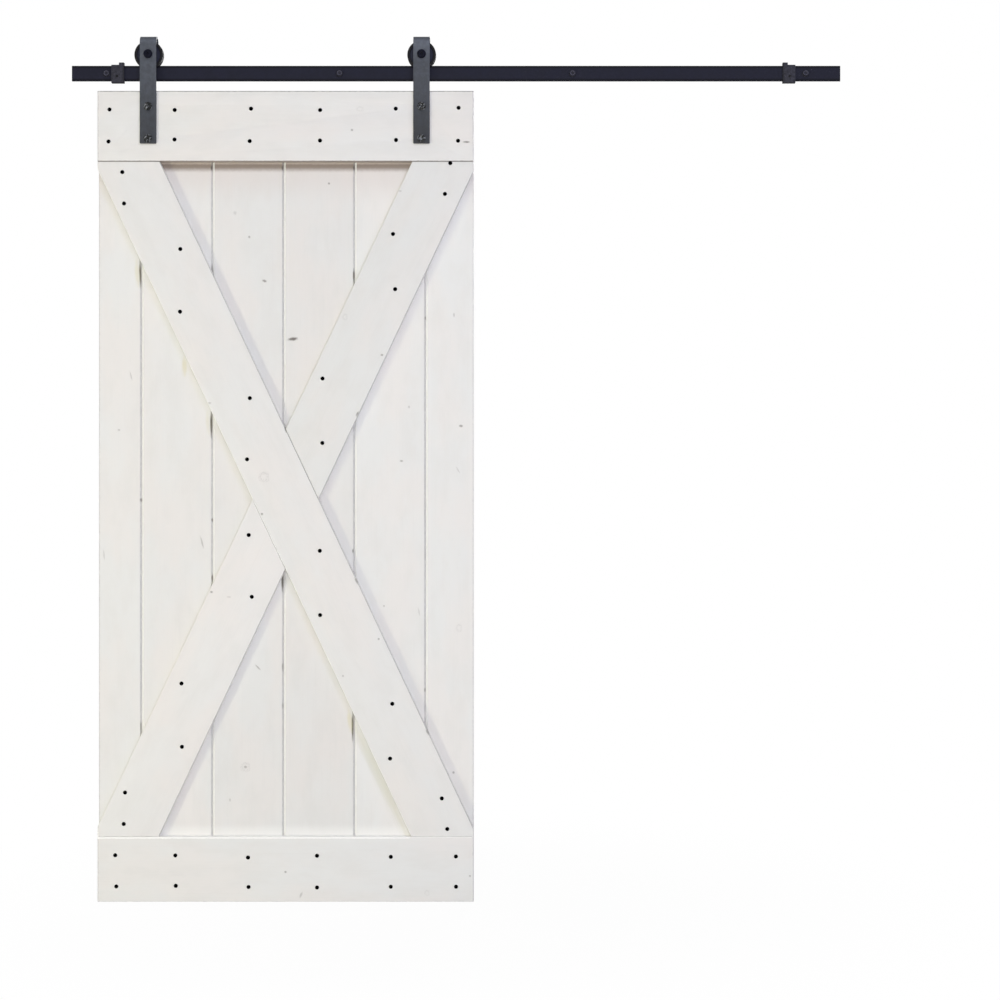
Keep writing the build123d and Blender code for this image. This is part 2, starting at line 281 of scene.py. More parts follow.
class Shader(Nodes):
    """A node material with one Principled surface.

    Attributes:
        material: The material being made.
        surface: Its Principled node.
        place: Object coordinates, in metres, of the point that is shaded.
        facing: Normal of the piece there.
    """

    def __init__(self, name: str) -> None:
        """Start a material of the given name."""
        self.material = bpy.data.materials.new(name)
        self.material.use_nodes = True
        super().__init__(self.material.node_tree)
        self.surface = self.tree.nodes["Principled BSDF"]
        here = self.node("TexCoord")
        self.place, self.facing = here.outputs["Object"], here.outputs["Normal"]

    def cells(self, size: Sequence[float], at: Sequence[float] = (0, 0, 0),
              lean: float = 0.0) -> Socket:
        """Return coordinates in cells of a size in metres, from a point, leaning by radians."""
        return self.node("Mapping", {"Vector": self.place, "Location": at,
                                     "Rotation": (0, lean, 0), "Scale": size},
                         vector_type="TEXTURE").outputs[0]

    def noise(self, vector: Socket, scale: float = 1.0, detail: float = 3.0,
              roughness: float = 0.55) -> Socket:
        """Return a noise from 0 to 1, with its scale in cells per unit of the vector."""
        return self.node("TexNoise", {"Vector": vector, "Scale": scale, "Detail": detail,
                                      "Roughness": roughness}).outputs[0]

    def part(self, vector: Socket, axis: str) -> Socket:
        """Return the X, Y or Z of a vector."""
        return self.node("SeparateXYZ", {0: vector}).outputs[axis]

    def length(self, vector: Socket) -> Socket:
        """Return the length of a vector."""
        return self.node("VectorMath", {0: vector}, operation="LENGTH").outputs[1]

    def span(self, value: Socket, low: float, high: float, start: float = 0.0,
             end: float = 1.0) -> Socket:
        """Return a number that goes from start to end as the value goes from low to high."""
        return self.node("MapRange", {"Value": value, 1: low, 2: high, 3: start, 4: end},
                         interpolation_type="SMOOTHSTEP").outputs[0]

    def mix(self, factor: Setting, first: Setting, second: Setting) -> Socket:
        """Return a colour between two others, by a factor from 0 to 1."""
        return self.node("Mix", {0: factor, 6: first, 7: second}, data_type="RGBA").outputs[2]

    def scaled(self, colour: Socket, factor: Socket) -> Socket:
        """Return a colour multiplied by a factor."""
        factors = self.node("CombineXYZ", dict.fromkeys(range(3), factor)).outputs[0]
        return self.node("VectorMath", {0: colour, 1: factors}, operation="MULTIPLY").outputs[0]

    def bump(self, height: Socket, distance: float, normal: Socket | None = None) -> Socket:
        """Return a normal that follows a height.

        Args:
            height: Height from 0 to 1.
            distance: Height of a full step, in metres.
            normal: Normal that this one is added to.

        Returns:
            The normal.
        """
        inputs: dict[str | int, Setting] = {"Height": height, "Distance": distance, "Strength": 1.0}
        if normal is not None:
            inputs["Normal"] = normal
        return self.node("Bump", inputs).outputs[0]

    def finish(self, **sockets: Setting) -> Material:
        """Feed the surface and return the material.

        Args:
            **sockets: Principled sockets in lower case, with _ for a space.

        Returns:
            The finished material.
        """
        names = {name.lower().replace(" ", "_"): name for name in self.surface.inputs.keys()}
        for key, value in sockets.items():
            self.feed(self.surface.inputs[names[key]], value)
        return self.material


# Finishes


@dataclass(frozen=True)
class Finish:
    """What all finishes have.

    Attributes:
        name: Name of the material.
        colour: Main colour of the finish.
    """

    name: str
    colour: Colour


@dataclass(frozen=True)
class PowderCoat(Finish):
    """Matt powder paint on steel, with its fine orange peel and slight mottling, and painted shade
    and light where asked.

    Attributes:
        mottle: How far the colour wanders, as a share.
        patch: Size of a patch of the mottling, in metres.
        roughness: Mean roughness.
        gloss: Specular level.
        peel: Depth of the orange peel, in metres.
        edge: Share of the colour that is left on faces aslant to the front, as painted shade on the
            sides.
        light_by_height: Painted light and shade up the piece: places from the lowest up, each as
            its Z and the coat's lightness there.
        rim: Distance from Z = 0 at which the coat gets darker, as painted shade along the top and
            bottom edges.
    """

    mottle: float = 0.18
    patch: float = 0.006
    roughness: float = 0.55
    gloss: float = 0.3
    peel: float = 0.00003
    edge: float = 0.6
    light_by_height: tuple[tuple[float, float], ...] = ()
    rim: float | None = None

    def material(self) -> Material:
        """Build the material.

        Returns:
            The material.
        """
        shader = Shader(self.name)
        patches = shader.noise(shader.place, 1 / self.patch, 4.0, 0.6)
        grain = shader.noise(shader.place, 1 / 0.0011, 2.0, 0.5)
        coat = shader.mix(shader.span(patches, 0.32, 0.68),
                          shifted(self.colour, 1 - self.mottle),
                          shifted(self.colour, 1 + self.mottle))
        coat = shader.mix(shader.span(grain, 0.60, 0.75, 0.0, 0.22), coat,
                          shifted(self.colour, 1.9))
        # Faces aslant to the front are darkened: painted shade on the sides.
        facing = shader.maths("ABSOLUTE", shader.part(shader.facing, "Y"))
        coat = shader.mix(shader.span(facing, 0.75, 0.97, 1.0, 0.0), coat,
                          shifted(self.colour, self.edge))
        height = shader.part(shader.place, "Z")
        # Painted light: the coat is lightened or darkened by height.
        if self.light_by_height:
            factor: Setting = self.light_by_height[0][1]
            for (low, before), (high, after) in zip(self.light_by_height, self.light_by_height[1:]):
                step = shader.span(height, low * MM, high * MM, 0.0, after - before)
                factor = shader.maths("ADD", step, factor)
            coat = shader.scaled(coat, factor)
        # Painted shade: the coat darkens beyond the rim distance from Z = 0.
        if self.rim:
            near, far = (self.rim - 1) * MM, (self.rim + 1) * MM
            outward = shader.maths("ABSOLUTE", height)
            coat = shader.scaled(coat, shader.span(outward, near, far, 1.05, 0.42))
        return shader.finish(
            base_color=coat,
            roughness=shader.span(patches, 0.3, 0.7, self.roughness - 0.06, self.roughness + 0.08),
            normal=shader.bump(grain, self.peel), specular_ior_level=self.gloss)


@dataclass(frozen=True)
class BlackOxide(Finish):
    """Black finish of bolts and screws: smoother than powder paint, with faint turning marks, and
    painted highlights where asked.

    Attributes:
        roughness: Mean roughness.
        gloss: Specular level.
        highlight_colour: Colour of the painted highlights.
        highlit_face: Depth from which the face is painted with that highlight all over.
        glint: How strongly painted glint streaks show, from 0 to 1.
    """

    roughness: float = 0.34
    gloss: float = 0.5
    highlight_colour: Colour = paint(124, 128, 134)
    highlit_face: float | None = None
    glint: float = 0.0

    def material(self) -> Material:
        """Build the material.

        Returns:
            The material.
        """
        shader = Shader(self.name)
        cloud = shader.noise(shader.place, 1 / 0.003, 4.0, 0.6)
        scratch = shader.noise(shader.cells((0.0003, 0.004, 0.002)), 1.0, 2.0)
        black = shader.mix(shader.span(cloud, 0.35, 0.7),
                           shifted(self.colour, 0.75), shifted(self.colour, 1.35))
        # Painted highlight over the whole front face.
        if self.highlit_face:
            face = shader.span(shader.part(shader.place, "Y"), -self.highlit_face * MM,
                               (0.3 - self.highlit_face) * MM, 1.0, 0.0)
            black = shader.mix(face, black, self.highlight_colour)
        # Painted glints: light streaks across the head.
        if self.glint:
            along = shader.cells((0.003, 1.0, 0.011), lean=math.radians(42))
            streaks = shader.noise(along, 1.0, 1.0)
            black = shader.mix(shader.span(streaks, 0.53, 0.60, 0.0, self.glint), black, self.highlight_colour)
        return shader.finish(
            base_color=black,
            roughness=shader.span(scratch, 0.3, 0.7, self.roughness - 0.07, self.roughness + 0.1),
            normal=shader.bump(scratch, 0.000012), specular_ior_level=self.gloss)


@dataclass(frozen=True)
class Nylon(Finish):
    """Moulded wheel plastic, with the fine flow marks and dull patches of a rolled tread.

    Attributes:
        rim: Colour of the rim, where the plastic is polished by handling.
        centre: X of the wheel's axle, in metres.
        height: Z of the axle, in metres.
        dish: Radius of the dish inside the rim, in metres.
    """

    rim: Colour
    centre: float
    height: float
    dish: float

    def material(self) -> Material:
        """Build the material.

        Returns:
            The material.
        """
        shader = Shader(self.name)
        polar = shader.cells((self.dish, 1.0, self.dish), (self.centre, 0, self.height))
        radius = shader.length(polar)
        flow = shader.noise(polar, 9.0, 4.0, 0.6)
        dust = shader.noise(shader.place, 1 / 0.0008, 2.0)
        dished = shader.mix(flow, shifted(self.colour, 0.8), shifted(self.colour, 1.3))
        return shader.finish(
            base_color=shader.mix(shader.span(radius, 0.99, 1.02), dished, self.rim),
            roughness=shader.span(flow, 0.3, 0.7, 0.42, 0.58),
            normal=shader.bump(dust, 0.00002), specular_ior_level=0.15)


@dataclass(frozen=True)
class BrushedSteel(Finish):
    """Turned steel of the bearing's rings."""

    def material(self) -> Material:
        """Build the material.

        Returns:
            The material.
        """
        shader = Shader(self.name)
        lines = shader.noise(shader.cells((0.0004, 0.02, 0.0004)), 1.0, 3.0)
        return shader.finish(
            base_color=shader.mix(lines, shifted(self.colour, 0.8), shifted(self.colour, 1.1)),
            roughness=shader.span(lines, 0.3, 0.7, 0.24, 0.42),
            normal=shader.bump(lines, 0.000008), metallic=1.0)


@dataclass(frozen=True)
class Rubber(Finish):
    """Dull black rubber of the stops' faces."""

    def material(self) -> Material:
        """Build the material.

        Returns:
            The material.
        """
        shader = Shader(self.name)
        bloom = shader.noise(shader.place, 1 / 0.0025, 4.0, 0.65)
        skin = shader.noise(shader.place, 1 / 0.0006, 2.0)
        return shader.finish(
            base_color=shader.mix(shader.span(bloom, 0.45, 0.75, 0.0, 0.6), self.colour,
                                  shifted(self.colour, 2.2)),
            roughness=shader.span(bloom, 0.3, 0.7, 0.72, 0.86),
            normal=shader.bump(skin, 0.00003), specular_ior_level=0.25)


class Trace(Enum):
    """What a mark in the paint is, with its display colour."""

    KNOT = (112, 106, 100)
    RING = (176, 174, 173)
    SCRATCH = (172, 169, 166)
    # Dark marks in the grooves, mostly where they run into boards and braces: painted shade with
    # some grime.
    DIRT_AND_SHADE = (92, 88, 76)
    # Yellow painted shadow beside the long brace's lower-left edge.
    WARM_SHADOW = (222, 216, 182)
    # Olive painted shadow in a slanting strip beside the long brace's lower-left edge.
    OLIVE_SHADOW = (196, 195, 170)


@dataclass(frozen=True)
class Mark:
    """A small flaw that shows through the paint, or a small patch of painted shade.

    Attributes:
        trace: What it is.
        pixel: Its middle in the photograph.
        wide: Half its width.
        high: Half its height.
        strength: How strongly it shows, from 0 to 1.
        lean: Turn from upright towards +X.
        RAGGED: How far noise moves its outline. This and the next three count half widths.
        RIM: Where it starts to fade and where it is gone.
        RING_RADIUS: Radius of the line, where it is a ring.
        RING_WIDTH: Half the width of that line.
    """

    RAGGED: ClassVar[float] = 0.9
    RIM: ClassVar[tuple[float, float]] = (0.75, 1.45)
    RING_RADIUS: ClassVar[float] = 1.2
    RING_WIDTH: ClassVar[float] = 0.45
    trace: Trace
    pixel: Pixel
    wide: float
    high: float
    strength: float
    lean: float = 0.0

    def lay(self, shader: Shader, coat: Socket, depth: float) -> Socket:
        """Lay the mark over the paint.

        Args:
            shader: Shader of the board.
            coat: Colour of the paint.
            depth: Depth of the board's front face.

        Returns:
            The colour with the mark.
        """
        x, z = CAMERA.point(self.pixel, depth)
        local = shader.cells((self.wide * MM, 1.0, self.high * MM), (x * MM, 0, z * MM),
                             math.radians(self.lean))
        far = shader.length(local)
        ragged = shader.maths("MULTIPLY", shader.noise(local, 1.7, 3.0), self.RAGGED)
        far = shader.maths("ADD", far, ragged)
        if self.trace is Trace.RING:
            off = shader.maths("ABSOLUTE", shader.maths("SUBTRACT", far, self.RING_RADIUS))
            broken = shader.span(shader.noise(local, 4.0, 2.0), 0.40, 0.60, 0.1, 1.0)
            share = shader.maths("MULTIPLY", broken,
                                 shader.span(off, 0.0, self.RING_WIDTH, self.strength, 0.0))
        else:
            share = shader.span(far, *self.RIM, self.strength, 0.0)
        return shader.mix(share, coat, paint(*self.trace.value))


knot, ring, scratch, dirt_and_shade, warm_shadow, olive_shadow = (partial(Mark, trace) for trace in Trace)


@dataclass(frozen=True)
class Band:
    """A tinted stretch of the front and underside, full at one coordinate and gone at another,
    which paints shade or light.

    Attributes:
        axis: "X" or "Z", the axis that it is measured along.
        clear: Coordinate at which the paint is clean again.
        full: Coordinate at which the tint is full.
        colour: The tint.
        strength: How strongly it covers where it is full, from 0 to 1.
        end: X at which it ends. The default is beyond the leaf.
        WAVE: How far its edge wanders, in metres.
        FADE: Half the length over which it fades at its end.
    """

    WAVE: ClassVar[float] = 0.003
    FADE: ClassVar[float] = 4
    axis: str
    clear: float
    full: float
    colour: Colour
    strength: float
    end: float = 2000

    def share(self, shader: Shader) -> Socket:
        """Return how far the stretch covers the paint, from 0 to 1.

        Args:
            shader: Shader of the board.

        Returns:
            The share.
        """
        ragged = shader.maths("MULTIPLY", shader.noise(shader.place, 140.0, 2.0), self.WAVE)
        along = shader.maths("ADD", shader.part(shader.place, self.axis),
                             shader.maths("SUBTRACT", ragged, self.WAVE / 2))
        share = shader.span(along, self.clear * MM, self.full * MM, 0.0, self.strength)
        lower = shader.maths("MINIMUM", shader.part(shader.facing, "Y"),
                             shader.part(shader.facing, "Z"))
        share = shader.maths("MULTIPLY", share, shader.span(lower, -0.6, -0.3, 1.0, 0.0))
        near, far = (self.end - self.FADE) * MM, (self.end + self.FADE) * MM
        return shader.maths("MULTIPLY", share,
                            shader.span(shader.part(shader.place, "X"), near, far, 1.0, 0.0))


@dataclass(frozen=True)
class Arris:
    """Painted shade or, in white, a painted highlight on the bevels that face one way.

    Attributes:
        facing: The direction, as X, Y and Z of a unit vector.
        strength: How strongly it covers, from 0 to 1.
        colour: Its colour; the default grey is painted shade.
    """

    facing: tuple[float, float, float]
    strength: float
    colour: Colour = paint(132, 130, 130)

    def share(self, shader: Shader) -> Socket:
        """Return how far it covers the paint, from 0 to 1.

        Args:
            shader: Shader of the board.

        Returns:
            The share.
        """
        facing = shader.node("VectorMath", {0: shader.facing, 1: self.facing},
                             operation="DOT_PRODUCT").outputs[1]
        broken = shader.span(shader.noise(shader.place, 90.0, 3.0), 0.3, 0.6, 0.7, 1.0)
        share = shader.span(facing, 0.85, 0.97, 0.0, self.strength)
        return shader.maths("MULTIPLY", share, broken)


Tints = tuple[Band | Arris, ...]


@dataclass(frozen=True)
class PaintedWood(Finish):
    """White paint brushed over planed softwood.

    Attributes:
        lean: Direction of the grain from upright towards +X.
        warm: How far the clouds in the paint lean to a warm tint, from 0 to 1.
        depth: Depth of the board's front face.
        marks: Flaws in this board, and patches of painted shade and shadow.
        tints: Tinted stretches and bevels of this board, which paint shade and highlights.
    """

    lean: float
    warm: float
    depth: float
    marks: tuple[Mark, ...]
    tints: Tints

    def material(self) -> Material:
        """Build the material.

        Returns:
            The material.
        """
        shader = Shader(self.name)
        lean = math.radians(self.lean)
        grain = shader.noise(shader.cells((0.0035, 0.0035, 0.16), lean=lean), 1.0, 5.0, 0.6)
        brush = shader.noise(shader.cells((0.0011, 0.0011, 0.09), lean=lean), 1.0, 3.0, 0.5)
        cloud = shader.noise(shader.cells((0.11, 0.11, 0.21), lean=lean), 1.0, 3.0, 0.5)
        red, green, blue, _ = self.colour
        warm = (red * 1.015, green * 0.985, blue * 0.980, 1.0)
        cool = (red * 0.975, green * 1.000, blue * 1.020, 1.0)
        coat = shader.mix(shader.span(cloud, 0.35, 0.65, 0.5 * self.warm, 0.5 + 0.5 * self.warm),
                          cool, warm)
        thick = shader.noise(shader.cells((0.045, 0.045, 0.12), lean=lean), 1.0, 4.0, 0.6)
        coat = shader.mix(shader.span(thick, 0.40, 0.72, 0.0, 0.45), coat,
                          shifted(self.colour, 0.93))
        coat = shader.mix(shader.span(grain, 0.50, 0.80, 0.0, 0.10), coat,
                          shifted(self.colour, 0.80))
        for tint in self.tints:
            coat = shader.mix(tint.share(shader), coat, tint.colour)
        for mark in self.marks:
            coat = mark.lay(shader, coat, self.depth)
        return shader.finish(
            base_color=coat, roughness=shader.span(brush, 0.3, 0.7, 0.40, 0.56),
            normal=shader.bump(brush, 0.00004, shader.bump(grain, 0.00012)),
            specular_ior_level=0.3)


# Shapes


class Outline(Enum):
    """How a ring of a turned piece runs round its axis."""

    ROUND = "round"
    HEXAGON = "hexagon"
    CROSS = "cross"


@dataclass(frozen=True)
class Ring:
    """One ring of a turned piece.

    Attributes:
        radius: Radius, which is also the most that any outline reaches.
        depth: Distance from the wall.
        soft: Width of the rounding put on this ring's edge.
        outline: Shape of the ring.
        size: Across flats of a hexagon, or the length of a cross from tip to tip.
        ARM: Half the angle that a cross's tip takes up, in radians.
    """

    ARM: ClassVar[float] = math.radians(15)
    radius: float
    depth: float
    soft: float = 0.0
    outline: Outline = Outline.ROUND
    size: float = 0.0

    def reach(self, angle: float) -> float:
        """Return the ring's radius in one direction.

        Args:
            angle: Direction round the axis, in radians.

        Returns:
            The radius there.
        """
        if self.outline is Outline.HEXAGON:
            from_flat = (angle + math.pi / 6) % (math.pi / 3) - math.pi / 6
            return min(self.radius, self.size / 2 / math.cos(from_flat))
        if self.outline is Outline.CROSS:
            from_arm = abs((angle + math.pi / 4) % (math.pi / 2) - math.pi / 4)
            tip = self.size / 2
            half_width = tip * math.tan(self.ARM)
            along = tip / math.cos(from_arm)
            beside = half_width / math.sin(from_arm) if from_arm > 1e-6 else math.inf
            return min(self.radius, along, beside)
        return self.radius


def shaped(outline: Outline, size: float, depth: float, radius: float = 99.0) -> Ring:
    """Return a ring with an outline of a size, cut back to a radius."""
    return Ring(radius, depth, outline=outline, size=size)


hexagon, cross = partial(shaped, Outline.HEXAGON), partial(shaped, Outline.CROSS)


def turned(section: Sequence[Ring | Row], steps: int = 48) -> Mesh:
    """Turn a section about the Y axis.

    It starts and ends on the axis for a solid body, and runs round to its start for a ring.

    Args:
        section: Rings in order, a round one as its radius, depth and rounding.
        steps: Faces round the axis, a multiple of 24 so that corners fall on an edge.

    Returns:
        A closed mesh on the axis x = z = 0, in metres.
    """
    rings = [ring if isinstance(ring, Ring) else Ring(*ring) for ring in section]
    bm = bmesh.new()
    number = bm.verts.layers.int.new("ring")
    verts = [bm.verts.new((ring.radius * MM, -ring.depth * MM, 0)) for ring in rings]
    for index, vert in enumerate(verts):
        vert[number] = index
    ends = [(verts[-1], verts[0])] if rings[0].radius > 0 else []
    edges = [bm.edges.new(pair) for pair in [*zip(verts, verts[1:]), *ends]]
    bmesh.ops.spin(bm, geom=[*verts, *edges], cent=(0, 0, 0), axis=(0, 1, 0), dvec=(0, 0, 0),
                   angle=math.tau, steps=steps, use_merge=True, use_normal_flip=False,
                   use_duplicate=False)
    bmesh.ops.remove_doubles(bm, verts=bm.verts[:], dist=SAME_POINT)
    for vert in bm.verts:
        ring = rings[vert[number]]
        flat = Vector((vert.co.x, vert.co.z))
        if flat.length > 1e-7:
            flat = flat.normalized() * ring.reach(math.atan2(flat.y, flat.x)) * MM
            vert.co = (flat.x, vert.co.y, flat.y)
    bmesh.ops.recalc_face_normals(bm, faces=bm.faces[:])
    for soft in sorted({ring.soft for ring in rings if ring.soft}):
        wanted = {index for index, ring in enumerate(rings) if ring.soft == soft}
        rims = [edge for edge in bm.edges
                if edge.verts[0][number] == edge.verts[1][number]
                and edge.verts[0][number] in wanted and edge.calc_face_angle(0) > FLAT]
        bmesh.ops.bevel(bm, geom=rims, offset=soft * MM, offset_type="OFFSET", segments=3,
                        profile=0.5, affect="EDGES", material=-1, clamp_overlap=True)
    return baked("turned", bm)


def threaded(core: float, crest: float, pitch: float, start: float, end: float,
             steps: int = 24) -> Mesh:
    """Wind the ridge of a thread round the Y axis.

    Args:
        core: Radius of the ridge's root.
        crest: Radius of its crest.
        pitch: Distance between turns.
        start: Depth where it starts, the end nearer to the room.
        end: Depth where it ends.
        steps: Faces in one turn.

    Returns:
        A closed ridge on the axis x = z = 0, in metres.
    """
    bm = bmesh.new()
    tooth = [(core, start), (crest, start - 0.28 * pitch), (core, start - 0.56 * pitch)]
    verts = [bm.verts.new((radius * MM, -depth * MM, 0)) for radius, depth in tooth]
    edges = [bm.edges.new((a, b)) for a, b in zip(verts, [*verts[1:], verts[0]])]
    count = round((start - end) / pitch * steps)
    bmesh.ops.spin(bm, geom=[*verts, *edges], cent=(0, 0, 0), axis=(0, 1, 0),
                   dvec=(0, pitch * MM / steps, 0), angle=math.tau * count / steps, steps=count,
                   use_merge=False, use_normal_flip=False, use_duplicate=False)
    bmesh.ops.holes_fill(bm, edges=bm.edges[:], sides=4)
    bmesh.ops.recalc_face_normals(bm, faces=bm.faces[:])
    return baked("thread", bm)


class Shape:
    """A mesh under way, with its points in metres in the frame of the CAD.

    Attributes:
        bm: The mesh.
        FLAT_AREA: Area from which a face is shaded flat, in square metres.
        SAME_PLACE: Distance within which two points of a CAD mesh are one, in metres.
        SAME_PLANE: Angle within which two of its faces are one, in radians.
        SHARP: Angle from which one of its edges is rounded, in radians.
        SMOOTH: Largest angle that is shaded smooth, in radians.
    """

    FLAT_AREA = 6e-4
    SAME_PLACE = 2e-6
    SAME_PLANE = math.radians(0.3)
    SHARP = math.radians(30)
    SMOOTH = math.radians(35)

    def __init__(self) -> None:
        """Start an empty shape."""
        self.bm = bmesh.new()

    def add(self, mesh: Mesh, x: float, z: float = 0.0, turn: float = 0.0) -> "Shape":
        """Add a copy of a mesh that stands on the Y axis.

        Args:
            mesh: The mesh.
            x: Its new place along X.
            z: Its new place along Z.
            turn: Turn about its own axis.

        Returns:
            This shape.
        """
        copy = mesh.copy()
        move = Matrix.Translation((x * MM, 0, z * MM))
        copy.transform(move @ Matrix.Rotation(math.radians(turn), 4, "Y"))
        self.bm.from_mesh(copy)
        bpy.data.meshes.remove(copy)
        return self

    def soften(self, node: str, radius: float, segments: int = 2) -> "Shape":
        """Add a copy of a CAD node with its edges rounded.

        Args:
            node: Name of the CAD node.
            radius: Width of the rounding.
            segments: Faces across a rounded edge.

        Returns:
            This shape.
        """
        mesh = frame["nodes"][node].data.copy()
        normals = mesh.attributes.get("custom_normal")
        if normals is not None:
            mesh.attributes.remove(normals)
        bm = self.bm
        bm.from_mesh(mesh)
        bpy.data.meshes.remove(mesh)
        bmesh.ops.remove_doubles(bm, verts=bm.verts[:], dist=self.SAME_PLACE)
        bmesh.ops.dissolve_limit(bm, angle_limit=self.SAME_PLANE, verts=bm.verts[:],
                                 edges=bm.edges[:], use_dissolve_boundaries=False)
        corners = [edge for edge in bm.edges
                   if edge.is_manifold and edge.calc_face_angle(0) > self.SHARP]
        bmesh.ops.bevel(bm, geom=corners, offset=radius * MM, offset_type="OFFSET",
                        segments=segments, profile=0.5, affect="EDGES", material=-1,
                        clamp_overlap=True)
        return self

    def piece(self, name: str, slot: Slot, material: Material, nodes: Sequence[str] = (),
              body: str = "") -> None:
        """Turn the shape into an object that rides on a body.

        Args:
            name: Name of the piece.
            slot: Not used.
            material: Its material.
            nodes: CAD nodes that it stands for.
            body: Body that it rides on, where it stands for no node.
        """
        for face in self.bm.faces:
            face.smooth = face.calc_area() < self.FLAT_AREA
            face.material_index = 0
        mesh = baked(name, self.bm)
        mesh.set_sharp_from_angle(angle=self.SMOOTH)
        mesh.materials.append(material)
        piece = placed(name, mesh)
        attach(piece, body or frame["nodes"][nodes[0]]["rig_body"])
        if nodes:
            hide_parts(*nodes)
        LOG.info("%s: %d faces, stands for %s", name, len(mesh.polygons),
                 ", ".join(nodes) or "none")


def dress(node: str, material: Material) -> None:
    """Give a CAD node that keeps its shape a better material.

    Args:
        node: Name of the CAD node.
        material: The material.
    """
    for slot in frame["nodes"][node].material_slots:
        slot.material = material
    LOG.info("%s: CAD shape with %s", node, material.name)


# Pieces


@dataclass
class Track:
    """The rail with its wall bolts, spacers and end stops.

    Attributes:
        bolt_places: X of the wall bolts.
        bolt_turn: Turn from one bolt to the next.
        set_screws: X of the set screw in each stop, by side.
        set_screw_height: Z of the set screws.
        stop_front: Depth of the stops' front faces.
        coat: Finish of the rail.
        stop_coat: Finish of the stops.
        bolt_finish: Finish of the wall bolts.
        spacer_finish: Finish of the spacers.
        screw_finish: Finish of the set screws.
        rubber: Finish of the stops' rubber.
    """

    bolt_places: tuple[float, ...] = (-915, -305, 305, 915)
    bolt_turn: float = 17
    set_screws: dict[str, float] = field(default_factory=lambda: {"left": -887, "right": 873})
    set_screw_height: float = -8
    stop_front: float = 41
    # The rail's coat has painted shade along its top and bottom edges.
    coat: PowderCoat = PowderCoat("rail_powder_coat", paint(31, 32, 45), mottle=0.10, patch=0.03,
                                  gloss=0.10, rim=13.8)
    stop_coat: PowderCoat = PowderCoat("stop_powder_coat", paint(50, 50, 59), mottle=0.35,
                                       gloss=0.15)
    # The wall bolts' front faces carry a painted highlight.
    bolt_finish: BlackOxide = BlackOxide("wall_bolt_black", paint(24, 24, 36), roughness=0.4,
                                         gloss=0.15, highlight_colour=paint(68, 68, 82), highlit_face=42.7)
    spacer_finish: BlackOxide = BlackOxide("spacer_black", paint(30, 30, 34), roughness=0.5,
                                           gloss=0.2)
    screw_finish: BlackOxide = BlackOxide("set_screw_black", paint(14, 14, 18), roughness=0.5,
                                          gloss=0.15)
    rubber: Rubber = Rubber("stop_rubber", paint(38, 38, 44))

    def build(self) -> None:
        """Build every piece of the track."""
        dress("rail", self.coat.material())
        self.build_bolts()
        self.build_spacers()
        stop_coat, rubber = self.stop_coat.material(), self.rubber.material()
        screw_black = self.screw_finish.material()
        for side, x in self.set_screws.items():
            (Shape().soften(f"stop_{side}", radius=0.5)
             .piece(f"end_stop_{side}", Slot.STOPS, stop_coat, [f"stop_{side}"]))
            (Shape().soften(f"bumper_{side}", radius=0.4)
             .piece(f"stop_rubber_{side}", Slot.RUBBER, rubber, [f"bumper_{side}"]))
            (Shape().add(self.set_screw(), x, self.set_screw_height)
             .piece(f"set_screw_{side}", Slot.FASTENERS, screw_black, body="track"))

    def set_screw(self) -> Mesh:
        """Return the set screw of a stop, on the axis, with its hexagon socket."""
        front = self.stop_front
        return turned([
            (0, front - 9), (2.4, front - 9), (3, front - 8.4), (3, front + 1.0),
            (2.7, front + 1.3), (2.0, front + 1.3), hexagon(3, front + 1.1),
            hexagon(3, front + 0.3), (0, front + 0.2)])

    def build_bolts(self) -> None:
        """Build the hexagon bolts that hold the rail, with their flanges and coarse threads."""
        bolt = turned([
            (0, -40), (0.7, -39.6), (2.8, -35), (2.8, -0.4), (3.5, 0.4), (3.5, 36),
            (9.5, 36, 0.25), (9.5, 37), (9.2, 37.4), (8.2, 37.6), hexagon(13, 37.7),
            hexagon(13, 41.9), hexagon(13, 42.4, 7.05), (6.3, 42.9), (5.0, 42.9), (4.4, 42.5),
            (0, 42.4)])
        thread = threaded(core=2.75, crest=4.0, pitch=3.2, start=-1, end=-35)
        shape = Shape()
        for number, x in enumerate(self.bolt_places):
            turn = self.bolt_turn * number
            shape.add(bolt, x, turn=turn).add(thread, x, turn=turn)
        shape.piece("wall_bolts", Slot.FASTENERS, self.bolt_finish.material(), ["lag_bolts"])

    def build_spacers(self) -> None:
        """Build the tubes that hold the rail off the wall."""
        tube = turned([(5, 0, 0.4), (9.5, 0, 0.5), (9.5, 30, 0.5), (5, 30, 0.4)])
        shape = Shape()
        for x in self.bolt_places:
            shape.add(tube, x)
        shape.piece("rail_spacers", Slot.FASTENERS, self.spacer_finish.material(), ["wall_spacers"])


